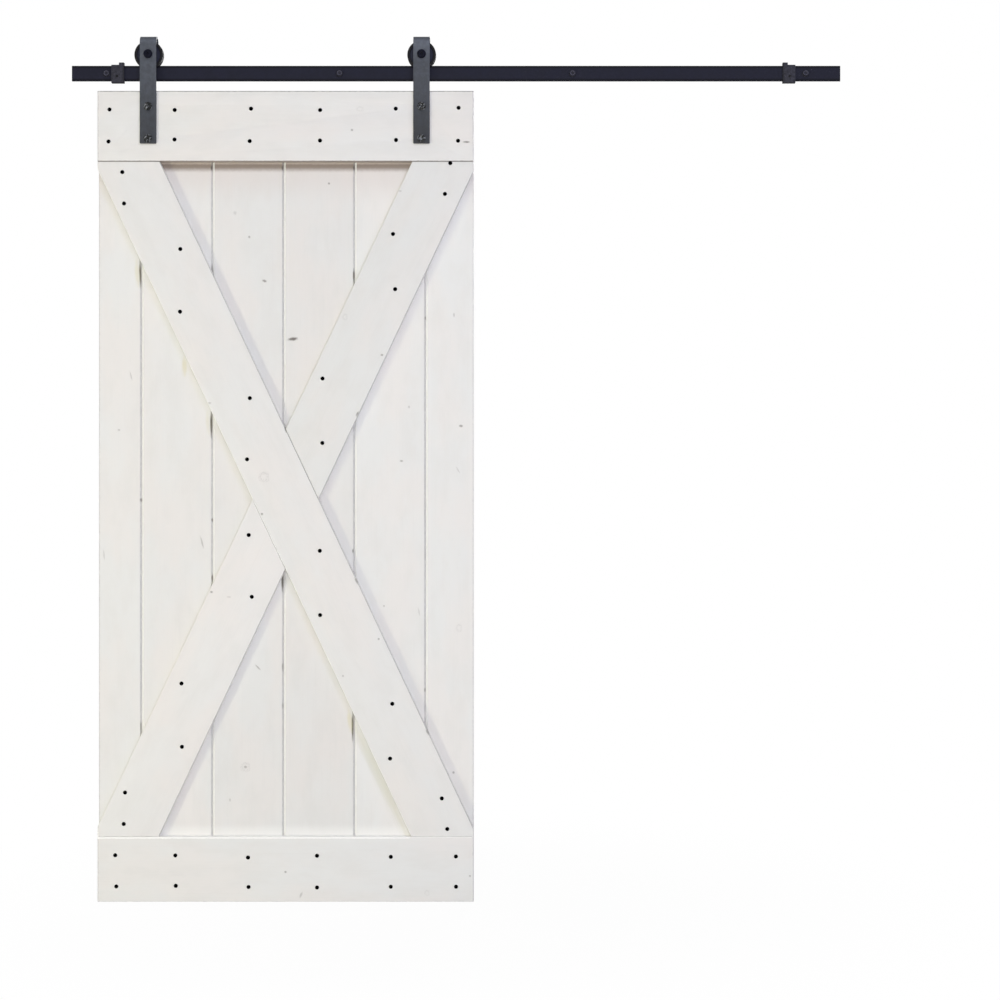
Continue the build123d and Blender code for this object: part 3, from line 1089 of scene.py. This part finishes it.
@dataclass
class Hangers:
    """The two strap hangers with their wheels, bearings and bolts.

    Attributes:
        places: X of each hanger, by side.
        axle_height: Z of the axles.
        bolt_heights: Z of the bolts through the leaf.
        wheel_depth: Depth of the wheels' middle plane.
        dish_radius: Radius of the dish in a wheel's face.
        strap_colour: Colour of the straps' coat.
        strap_light_by_height: How light the coat of each strap is, from its foot up, as painted
            light that is brightest at the bend.
        axle_finish: Finish of the axle bolts and their nuts.
        bolt_finish: Finish of the bolts through the leaf and their nuts.
        steel: Finish of the bearings.
    """

    places: dict[str, float] = field(default_factory=lambda: {"left": -804, "right": -90})
    axle_height: float = 47.8
    bolt_heights: tuple[float, ...] = (-173, -89)
    wheel_depth: float = 33
    dish_radius: float = 30
    strap_colour: Colour = paint(60, 64, 72)
    # Painted light on each strap, lightest at the bend on top.
    strap_light_by_height: dict[str, tuple[tuple[float, float], ...]] = field(default_factory=lambda: {
        "left": ((-190, 0.66), (70, 1.45), (94, 2.3)),
        "right": ((-190, 0.5), (20, 1.2), (80, 2.2))})
    axle_finish: BlackOxide = BlackOxide("axle_bolt_black", paint(15, 17, 31), roughness=0.42,
                                         gloss=0.07)
    # The leaf bolts carry painted glint streaks.
    bolt_finish: BlackOxide = BlackOxide("leaf_bolt_black", paint(12, 16, 18), roughness=0.2,
                                         gloss=0.25, glint=0.8)
    steel: BrushedSteel = BrushedSteel("bearing_steel", paint(150, 152, 156))

    def build(self) -> None:
        """Build every piece of the hangers."""
        steel = self.steel.material()
        wheel, bearing = self.wheel(), self.bearing()
        for side, x in self.places.items():
            coat = PowderCoat(f"strap_powder_coat_{side}", self.strap_colour, mottle=0.16,
                              patch=0.012, gloss=0.35, light_by_height=self.strap_light_by_height[side]).material()
            (Shape().soften(f"strap_{side}", radius=0.7, segments=3)
             .piece(f"strap_hanger_{side}", Slot.STRAP, coat, [f"strap_{side}"]))
            nylon = Nylon(f"wheel_nylon_{side}", paint(32, 35, 52), paint(18, 18, 22), x * MM,
                          self.axle_height * MM, self.dish_radius * MM).material()
            (Shape().add(wheel, x, self.axle_height)
             .piece(f"grooved_wheel_{side}", Slot.WHEEL, nylon, [f"wheel_{side}"]))
            (Shape().add(bearing, x, self.axle_height)
             .piece(f"ball_bearing_{side}", Slot.BEARING, steel, [f"bearing_{side}"]))
        axle_black, leaf_black = self.axle_finish.material(), self.bolt_finish.material()
        axle, leaf = (self.axle_height,), self.bolt_heights
        for name, node, mesh, material, heights, turn in (
                ("inner_rings", "bearing_inner_rings", self.inner_ring(), steel, axle, 0),
                ("axle_bolt_pair", "axle_bolts", self.axle_bolt(), axle_black, axle, 11),
                ("axle_nut_pair", "axle_nuts", self.nut(6.05, 18, 14, 7.5), axle_black, axle, 23),
                ("leaf_bolts", "door_bolts", self.leaf_bolt(), leaf_black, leaf, 13),
                ("leaf_nuts", "door_nuts", self.nut(5.05, 16, 10, 3.2, 11), leaf_black, leaf, 19)):
            shape = Shape()
            for number, (x, z) in enumerate(((x, z) for x in self.places.values()
                                             for z in heights), 1):
                shape.add(mesh, x, z, turn * number)
            slot = Slot.BEARING if material is steel else Slot.FASTENERS
            shape.piece(name, slot, material, [node])

    def two_faced(self, front: Sequence[Row], steps: int) -> Mesh:
        """Return a ring whose back is the mirror image of its front, about the wheels' middle."""
        back = [(radius, 2 * self.wheel_depth - depth, *soft)
                for radius, depth, *soft in reversed(front)]
        return turned([*front, *back], steps)

    def wheel(self) -> Mesh:
        """Return the grooved wheel, with a dish in each face and rounded rims."""
        dish = self.dish_radius
        return self.two_faced([
            (16.02, 41, 0.3), (19.5, 41), (20.5, 40.6), (dish, 40.6, 0.5), (dish + 0.5, 43, 0.7),
            (37.5, 43, 1.5), (37.5, 37.4, 1.0), (27.5, 36.7, 1.2)], steps=96)

    def bearing(self) -> Mesh:
        """Return the bearing's outer ring with its two pressed shields."""
        return self.two_faced([
            (8.8, 37.2), (10.2, 37.2), (10.6, 37.5), (13.2, 37.5), (13.6, 37.1), (14.0, 37.1),
            (14.0, 38, 0.2), (16, 38, 0.5)], steps=72)

    def inner_ring(self) -> Mesh:
        """Return the sleeve through the bearing, between the strap's two legs."""
        return turned([(6.05, 19, 0.4), (8.5, 19, 0.5), (8.5, 47, 0.5), (6.05, 47, 0.4)])

    def axle_bolt(self) -> Mesh:
        """Return the axle bolt, with its domed head and hexagon socket."""
        return turned([
            (0, 6.5), (5.2, 6.5), (6, 7.3), (6, 52), (11.5, 52, 0.3), (11.5, 54.2), (11.2, 55.4),
            (10.4, 56.6), (9.1, 57.5), (7.4, 58.2), (5.6, 58.5), (5.0, 58.5), hexagon(8, 58.2),
            hexagon(8, 54.6), (0, 53.8)])

    def leaf_bolt(self) -> Mesh:
        """Return the flanged hexagon bolt through the strap and the leaf."""
        return turned([
            (0, 2.4), (4.2, 2.4), (5, 3.2), (5, 52), (11, 52, 0.3), (11, 53.1), (10.7, 53.5),
            (9.8, 53.8), hexagon(16, 53.9), hexagon(16, 58.7), hexagon(16, 59.25, 8.65),
            (7.8, 59.8), (6.4, 59.8), (5.8, 59.4), (0, 59.3)])

    def nut(self, bore: float, flats: float, front: float, back: float,
            flange: float = 0.0) -> Mesh:
        """Return a hexagon nut, chamfered at its back, with a flange where one is asked for.

        Args:
            bore: Radius of the bore.
            flats: Width across the flats.
            front: Depth of the face that bears on the work.
            back: Depth of the outer face.
            flange: Radius of the flange, or 0 for none.

        Returns:
            The nut on the Y axis.
        """
        corner = flats / math.sqrt(3)
        skirt = ([(flange, front, 0.2), (flange, front - 1.1),
                  (flange - 0.4, front - 1.5), (corner + 0.5, front - 1.8)] if flange
                 else [(corner - 1.4, front), hexagon(flats, front - 0.5, corner - 0.5)])
        top = front - 1.9 if flange else front - 1.0
        return turned([(bore + 0.5, front), *skirt, hexagon(flats, top),
                       hexagon(flats, back + 1.1), hexagon(flats, back + 0.5, corner - 0.55),
                       (flats / 2 - 0.2, back), (bore + 0.7, back), (bore, back + 0.7),
                       (bore, front - 0.5)])


# Flaws in the paint of each board, and patches of painted shade and shadow beside the braces and in
# the grooves.
MARKS: dict[str, tuple[Mark, ...]] = {
    "plank_1": (
        dirt_and_shade((140.2, 275), 4, 46, 0.9, -2), warm_shadow((137.5, 275), 9, 44, 0.42, -4),
        dirt_and_shade((141, 500), 4, 7, 0.6), dirt_and_shade((140.8, 727), 2.5, 22, 0.5), knot((119, 430), 5, 4, 0.3),
        scratch((131, 376), 16, 2.5, 0.45, 75), scratch((104, 555), 18, 2.5, 0.4, 85)),
    "plank_2": (
        dirt_and_shade((211.2, 425), 4, 46, 0.9), warm_shadow((208, 424), 8, 38, 0.25, -4),
        warm_shadow((184.5, 367), 9, 34, 0.5), dirt_and_shade((212, 271), 3, 26, 0.5),
        dirt_and_shade((211.4, 168), 3, 9, 0.8), dirt_and_shade((212.2, 520), 3.5, 7, 0.6),
        dirt_and_shade((212.2, 578), 3, 13, 0.7), scratch((202, 542.5), 22, 3, 0.6, 75)),
    "plank_3": (
        dirt_and_shade((282.4, 582), 4, 34, 0.9), dirt_and_shade((282.4, 168), 3, 9, 0.8),
        dirt_and_shade((282.6, 667), 3, 16, 0.4), dirt_and_shade((282.6, 706), 3, 12, 0.35),
        knot((264.5, 281), 8, 4.5, 0.7, 15), knot((249.3, 237), 4, 4.5, 0.5),
        knot((235, 213), 6, 7, 0.2), scratch((258, 667.5), 13, 3, 0.7, 45),
        knot((245.5, 767), 6, 5, 0.45), ring((245.5, 767), 13, 13, 0.3),
        knot((230, 800), 3.5, 6, 0.25)),
    "plank_4": (
        dirt_and_shade((352.6, 727), 4, 50, 0.95), warm_shadow((350, 722), 9, 38, 0.5, -6),
        dirt_and_shade((353.8, 276), 3.5, 24, 0.8), dirt_and_shade((353.8, 168), 3, 9, 0.8),
        dirt_and_shade((353, 551), 3, 8, 0.6), dirt_and_shade((353.6, 575), 3, 12, 0.6),
        knot((293, 339), 17, 6, 0.95, -8), knot((329, 183.5), 4, 4, 0.6)),
    "plank_5": (
        olive_shadow((379, 778), 18, 230, 0.3, -25.2), dirt_and_shade((424.8, 728), 3, 14, 0.6),
        dirt_and_shade((424.8, 690), 3, 8, 0.45), dirt_and_shade((425.4, 318), 3, 7, 0.5),
        knot((401.5, 461), 6, 3.5, 0.5), knot((409, 407), 3.5, 5, 0.3),
        scratch((419, 612), 14, 2.5, 0.35, 80), knot((384, 606), 3.5, 3.5, 0.35)),
    "plank_6": (
        knot((461, 426), 7, 4.5, 0.65), knot((453.5, 772.5), 4.5, 4.5, 0.5),
        knot((454, 315), 3, 8, 0.35), scratch((458, 470), 13, 2.5, 0.35, 60),
        ring((459, 628), 8, 11, 0.25)),
    "top_board": (
        knot((466.5, 142), 12, 3.2, 0.85), knot((352, 130), 4.5, 4, 0.55),
        ring((360, 109), 10, 7, 0.22)),
    "bottom_board": (
        knot((285.5, 872), 4.5, 4, 0.55), knot((301, 895), 4, 11, 0.3, 25),
        knot((470, 876), 4, 4, 0.4), ring((427, 893), 7, 8, 0.22)),
    "long_brace": (
        ring((264, 477), 14, 14, 0.3), knot((262, 514), 4.5, 4, 0.6),
        dirt_and_shade((283.5, 566), 3, 11, 0.6, -25), dirt_and_shade((356.3, 581), 3.5, 13, 0.5, -25),
        dirt_and_shade((427.3, 732), 3.5, 12, 0.5, -25), knot((378.7, 639), 4, 4, 0.5),
        knot((343, 676), 3.5, 4, 0.35), knot((209.7, 403), 6, 3.5, 0.3),
        dirt_and_shade((285.5, 429), 3.5, 14, 0.55, -12)),
    "upper_brace": (
        knot((382, 355), 5, 4, 0.55), ring((345, 317), 7, 9, 0.28),
        dirt_and_shade((357.3, 414), 3.5, 10, 0.6, 25), knot((400, 191), 7, 3, 0.25)),
    "lower_brace": (
        knot((211.5, 592), 5, 4, 0.55), knot((229, 597), 8, 3, 0.2)),
}

# Pixels of the screw heads in the photograph, by the board that they hold.
SCREWS: dict[str, tuple[Pixel, ...]] = {
    "top_board": (
        (109.5, 109.5), (174.7, 110), (251, 108.7), (320.1, 110), (395.7, 108.6), (458.6, 107.8),
        (108.5, 141.5), (174.5, 139.5), (249.7, 141.1), (320, 140.5), (396, 140), (458, 140.7)),
    "long_brace": (
        (122.3, 172.1), (124, 203.5), (180.3, 249), (180, 311.7), (249.8, 398.1), (247, 459.3),
        (319.8, 550.8), (320.1, 615.1), (392.3, 703.8), (390.1, 758.6), (441.8, 798.4),
        (447.3, 829)),
    "upper_brace": (
        (450.3, 163.1), (444.9, 193.9), (393, 234), (395.1, 289.2), (322.5, 378.5), (322.3, 443)),
    "lower_brace": (
        (248.7, 535), (251.8, 596.8), (181.5, 683.5), (181.9, 746.8), (125, 792.5), (123.7, 824)),
    "bottom_board": (
        (115.2, 855.2), (175.3, 855.4), (248, 857.5), (317, 855.7), (390.8, 856.8), (455.9, 856.5),
        (116.3, 886.4), (175.8, 885.8), (248.5, 887), (317, 887.5), (390.8, 886.7), (456, 886.7)),
}


@dataclass
class Leaf:
    """The leaf: six planks, the head and foot boards, three braces and the screws.

    Attributes:
        white: Display colour of the paint.
        shades: Lightness of each board as a factor, where it differs from that.
        highlight_white: White of the painted highlights on bevels, groove sides, ledges and the
            planks above the foot board.
        shaded: Colour of the painted shade on one side of each groove.
        head_shadow: Brown of the painted shadow below the head board.
        long_lean: Lean of the long brace.
        short_lean: Lean of the short braces.
        front: Depth of the boards' front face.
        plank_front: Depth of the planks' front face.
        ledge_end: X at which the painted highlight along the foot board's ledge ends, at the long
            brace's foot.
        screw_turn: Turn from one wood screw to the next.
        screw_finish: Finish of the wood screws.
    """

    white: tuple[float, float, float] = (234, 233, 230)
    shades: dict[str, float] = field(default_factory=lambda: {
        "plank_1": 1.015, "plank_2": 1.005, "plank_3": 0.985, "plank_4": 0.975, "plank_5": 1.02,
        "plank_6": 1.03, "long_brace": 1.005, "top_board": 0.995, "upper_brace": 0.975,
        "lower_brace": 1.025})
    highlight_white: Colour = paint(254, 254, 252)
    shaded: Colour = paint(176, 175, 174)
    head_shadow: Colour = paint(122, 104, 88)
    long_lean: float = -25.2
    short_lean: float = 25.3
    front: float = 47
    plank_front: float = 27
    ledge_end: float = -122
    screw_turn: float = 37
    screw_finish: BlackOxide = BlackOxide("wood_screw_black", paint(4, 4, 5), roughness=0.7,
                                          gloss=0.0)

    def build(self) -> None:
        """Build every piece of the leaf."""
        slant = math.sqrt(0.5)
        # Painted highlight on the side of each groove that faces -X, painted shade on the side that
        # faces +X.
        groove = (Arris((-slant, -slant, 0), 1.0, self.highlight_white),
                  Arris((slant, -slant, 0), 0.5, self.shaded))
        for number, warm in enumerate((0.45, 0.5, 0.4, 0.65, 0.35, 0.3), 1):
            node = f"plank_{number}"
            dress(node, self.wood(node, 0, warm, (*self.plank_bands(), *groove)))
        rise = math.radians(self.short_lean)
        across, along = slant * math.cos(rise), slant * math.sin(rise)
        top, foot, ledge = (0, -slant, slant), (0, -slant, -slant), (0, 0, 1)
        # Painted shade on the short braces' lower-right bevels.
        short = (Arris((across, -slant, -along), 0.35),)
        # The head board's bevels get painted shade; the foot board's top and ledge get painted
        # highlights; the long brace gets painted shade above right and painted highlights below
        # left and at its foot.
        for node, lean, warm, tints in (
                ("top_board", 90, 0.6,
                 (*self.head_bands(), Arris(top, 0.95), Arris(foot, 0.8))),
                ("bottom_board", 90, 0.3,
                 (*self.foot_bands(), Arris(top, 1.0, self.highlight_white),
                  Arris(ledge, 1.0, self.highlight_white))),
                ("long_brace", self.long_lean, 0.6,
                 (Arris((across, -slant, along), 0.4),
                  Arris((-across, -slant, -along), 1.0, self.highlight_white),
                  Arris(foot, 1.0, self.highlight_white))),
                ("upper_brace", self.short_lean, 0.3, short),
                ("lower_brace", self.short_lean, 0.75, short)):
            (Shape().soften(node, radius=1.3, segments=3)
             .piece(f"painted_{node}", Slot.WOOD, self.wood(node, lean, warm, tints), [node]))
        self.build_screws()

    def side_bands(self) -> tuple[Band, ...]:
        """Return the grey lines of painted shade down the leaf's two sides."""
        low, high = (corner.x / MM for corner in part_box("top_board"))
        return (Band("X", low + 3.5, low + 1.5, paint(190, 189, 190), 0.5),
                Band("X", high - 3.5, high - 1.5, paint(190, 189, 192), 0.5))

    def plank_bands(self) -> tuple[Band, ...]:
        """Return the planks' tints: painted shade and shadow in browns below the head board, and
        painted light above the foot board.
        """
        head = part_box("top_board")[0].z / MM
        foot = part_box("bottom_board")[1].z / MM
        return (*self.side_bands(),
                # Painted shade fading down from the head board, its darker brown painted shadow,
                # and a lighter brown strip just under the board.
                Band("Z", head - 120, head - 25, paint(221, 212, 207), 0.5),
                Band("Z", head - 28, head - 11, self.head_shadow, 0.8),
                Band("Z", head - 7, head - 1, paint(226, 214, 204), 0.55),
                # Painted light on the planks just above the foot board.
                Band("Z", foot + 34, foot + 4, self.highlight_white, 0.5))

    def head_bands(self) -> tuple[Band, ...]:
        """Return the head board's tints: painted shade in brown on its underside and in grey along
        its top.
        """
        low, high = (corner.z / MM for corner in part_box("top_board"))
        return (*self.side_bands(), Band("Z", low + 1.9, low + 0.9, paint(150, 134, 120), 0.8),
                Band("Z", high - 3.5, high - 1.2, paint(150, 149, 149), 0.7))

    def foot_bands(self) -> tuple[Band, ...]:
        """Return the foot board's tint: a painted highlight along its top edge."""
        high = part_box("bottom_board")[1].z / MM
        return (*self.side_bands(),
                Band("Z", high - 6.5, high - 3.5, self.highlight_white, 1.0, self.ledge_end))

    def wood(self, node: str, lean: float, warm: float, tints: Tints) -> Material:
        """Return the painted wood of one board.

        Args:
            node: CAD node of the board.
            lean: Direction of its grain from upright.
            warm: Warmth of its paint, from 0 to 1.
            tints: Tinted stretches and bevels.

        Returns:
            The material.
        """
        depth = self.plank_front if node.startswith("plank") else self.front
        white = shifted(paint(*self.white), self.shades.get(node, 1.0))
        return PaintedWood(f"painted_wood_{node}", white, lean, warm, depth,
                           MARKS.get(node, ()), tints).material()

    def build_screws(self) -> None:
        """Build the wood screws, each with a low domed head and a cross recess."""
        front = self.front
        screw = turned([
            (0, front - 33), (1.4, front - 26), (1.7, front - 3), (4.4, front - 0.4),
            (5.3, front), (5.25, front + 0.6), (4.6, front + 1.2), (3.4, front + 1.6),
            (3.0, front + 1.65), cross(4.6, front + 1.6, 3.0), cross(3.0, front + 0.4, 2.2),
            (0, front + 0.2)], steps=24)
        places = [CAMERA.point(pixel, front) for row in SCREWS.values() for pixel in row]
        shape = Shape()
        for number, (x, z) in enumerate(places):
            shape.add(screw, x, z, turn=self.screw_turn * number)
        shape.piece("wood_screws", Slot.FASTENERS, self.screw_finish.material(), body="door")


# Studio


@dataclass(frozen=True)
class Softbox:
    """A square area light aimed at a point.

    Attributes:
        name: Name of the light.
        place: Its middle, in metres.
        target: The point that it faces.
        size: Side of the square, in metres.
        power: Power in watts.
        colour: Colour of its light.
    """

    name: str
    place: tuple[float, float, float]
    target: tuple[float, float, float]
    size: float
    power: float
    colour: tuple[float, float, float]

    def build(self) -> None:
        """Hang the light."""
        light = bpy.data.lights.new(self.name, "AREA")
        light.shape, light.size = "SQUARE", self.size
        light.energy, light.color = self.power, self.colour
        lamp = placed(self.name, light)
        lamp.location = self.place
        lamp.visible_camera = False
        away = Vector(self.place) - Vector(self.target)
        lamp.rotation_euler = away.to_track_quat("Z", "Y").to_euler()


@dataclass
class Studio:
    """Floor, surroundings, lights and camera.

    Attributes:
        floor_gap: Distance from the leaf's foot to the floor, in metres.
        floor_size: Side of the floor, in metres.
        near: Distance from the object, in metres, at which the floor starts to fade to white.
        far: Distance at which it has faded, in metres.
        near_white: Share of white in the floor up to the near distance.
        ambient: Strength of the light from all round.
        ambient_colour: Its colour.
        white: Colour behind the object.
        lights: The lamps.
    """

    floor_gap: float = 0.012
    floor_size: float = 16.0
    near: float = 0.3
    far: float = 1.6
    near_white: float = 0.96
    ambient: float = 0.28
    ambient_colour: Colour = (1.0, 0.985, 0.96, 1.0)
    white: Colour = (1.0, 1.0, 1.0, 1.0)
    lights: tuple[Softbox, ...] = (
        Softbox("low_left", (-4.0, -3.0, -1.75), (-0.45, -0.04, -1.1), 0.75, 44,
                (1.13, 1.09, 0.79)),
        Softbox("high_right", (3.6, -6.0, 3.0), (-0.45, -0.04, -1.1), 1.0, 80,
                (0.85, 0.90, 1.36)),
        Softbox("head", (-0.6, -6.3, 5.2), (-0.45, -0.04, -1.0), 2.0, 80, (1.0, 0.99, 0.95)),
        Softbox("front", (0.3, -6.2, -1.0), (-0.3, -0.04, -1.1), 2.4, 97, (1.0, 0.98, 0.965)),
        Softbox("back", (0.8, 5.6, 0.8), (-0.45, 0, -1.1), 2.4, 150, (1.0, 1.0, 1.0)),
    )

    def build(self) -> None:
        """Build the studio and place the camera."""
        self.build_floor()
        self.build_world()
        for light in self.lights:
            light.build()
        CAMERA.build()
        settings = bpy.context.scene.view_settings
        settings.view_transform = "Standard"
        LOG.info("studio: %d lights", len(self.lights))

    def build_floor(self) -> None:
        """Lay a pale floor that keeps the shadow near the object and fades into white."""
        bm = bmesh.new()
        bmesh.ops.create_grid(bm, x_segments=8, y_segments=8, size=self.floor_size / 2)
        floor = placed("floor", baked("floor", bm))
        low, high = CAD_BOX
        floor.location = ((low.x + high.x) / 2, 0, low.z - self.floor_gap)
        shader = Shader("pale_floor")
        speckle = shader.noise(shader.place, 60.0, 3.0)
        shader.finish(base_color=shader.mix(speckle, paint(246, 246, 245), paint(250, 250, 249)),
                      roughness=0.85, specular_ior_level=0.15)
        fade = shader.span(shader.length(shader.place), self.near, self.far, self.near_white, 1.0)
        glow = shader.node("Emission", {"Color": self.white, "Strength": 1.0})
        shader.show("Material Output", shader.maths("MULTIPLY", fade, shader.seen()),
                    shader.surface, glow)
        floor.data.materials.append(shader.material)

    def build_world(self) -> None:
        """Surround the object with soft light, and show white behind it."""
        world = bpy.data.worlds.new("studio")
        bpy.context.scene.world = world
        world.use_nodes = True
        nodes = Nodes(world.node_tree)
        ambient = nodes.tree.nodes["Background"]
        nodes.feed(ambient.inputs["Color"], self.ambient_colour)
        nodes.feed(ambient.inputs["Strength"], self.ambient)
        nodes.show("World Output", nodes.seen(), ambient,
                   nodes.node("Background", {"Color": self.white}))


def main() -> None:
    """Build the door's pieces in order, then the studio, and report each."""
    logging.basicConfig(level=logging.INFO, format="%(name)s %(message)s")
    for part in (Track(), Hangers(), Leaf(), Studio()):
        part.build()
        LOG.info("%s is done", type(part).__name__)


if __name__ == "__main__":
    main()
